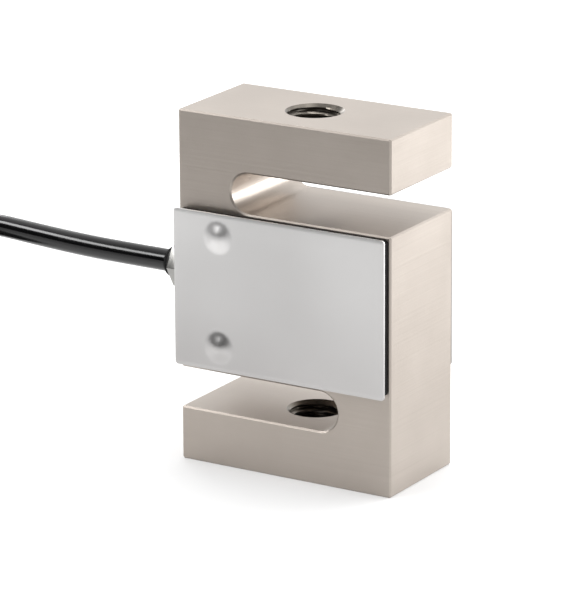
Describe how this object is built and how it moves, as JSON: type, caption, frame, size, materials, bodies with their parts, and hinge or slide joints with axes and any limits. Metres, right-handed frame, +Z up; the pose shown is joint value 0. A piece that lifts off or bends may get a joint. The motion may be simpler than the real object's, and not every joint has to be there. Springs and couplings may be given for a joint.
{
  "type": "s type load cell",
  "caption": "S-shaped one-piece steel load cell with threaded holes top and bottom, covered gauge pockets on both wide faces and a side cable.",
  "frame": {"origin": "centre of the bottom face, on the load axis, at the mouth of the lower thread", "axes": "+Z up the load axis through both threaded holes, +X along the wide face away from the cable, +Y towards the rear cover"},
  "size_m": [0.2254, 0.0432, 0.0762],
  "materials": {
    "nickel_plated_steel": "satin nickel plate over milled alloy steel",
    "cover_sheet": "satin stainless sheet",
    "black_gasket": "matt black rubber",
    "bond_film": "thin dark bonding film",
    "gland_metal": "nickel plated brass, turned",
    "gland_rubber": "grey-black moulded rubber",
    "cable_jacket": "glossy black PVC jacket",
    "tie_plastic": "black nylon",
    "sleeve_plastic": "black shrink sleeve",
    "gauge_foil": "amber polyimide film with a foil grid",
    "board_laminate": "green glass-epoxy laminate",
    "solder": "solder",
    "resistor_body": "brown enamelled bobbin",
    "lead_red_pvc": "red PVC core",
    "lead_black_pvc": "black PVC core",
    "lead_green_pvc": "green PVC core",
    "lead_white_pvc": "white PVC core"
  },
  "bodies": {
    "root": {"cable": "cable_jacket", "cable_hank": "cable_jacket", "core_black": "lead_black_pvc", "core_green": "lead_green_pvc", "core_red": "lead_red_pvc", "core_white": "lead_white_pvc", "end_sleeve": "sleeve_plastic", "front_compression_gauge": "gauge_foil", "front_cover": "cover_sheet", "front_gasket": "black_gasket", "front_tension_gauge": "gauge_foil", "gland_body": "gland_metal", "gland_insert": "gland_rubber", "gland_nut": "gland_metal", "gland_ring": "black_gasket", "hank_tie": "tie_plastic", "lead_black": "lead_black_pvc", "lead_green": "lead_green_pvc", "lead_red": "lead_red_pvc", "lead_white": "lead_white_pvc", "rear_bond_film": "bond_film", "rear_compression_gauge": "gauge_foil", "rear_cover": "cover_sheet", "rear_tension_gauge": "gauge_foil", "rear_terminal_strip": "board_laminate", "solder_joints": "solder", "span_trim_resistor": "resistor_body", "spring_body": "nickel_plated_steel", "terminal_board": "board_laminate", "zero_trim_resistor": "resistor_body"}
  },
  "joints": []
}
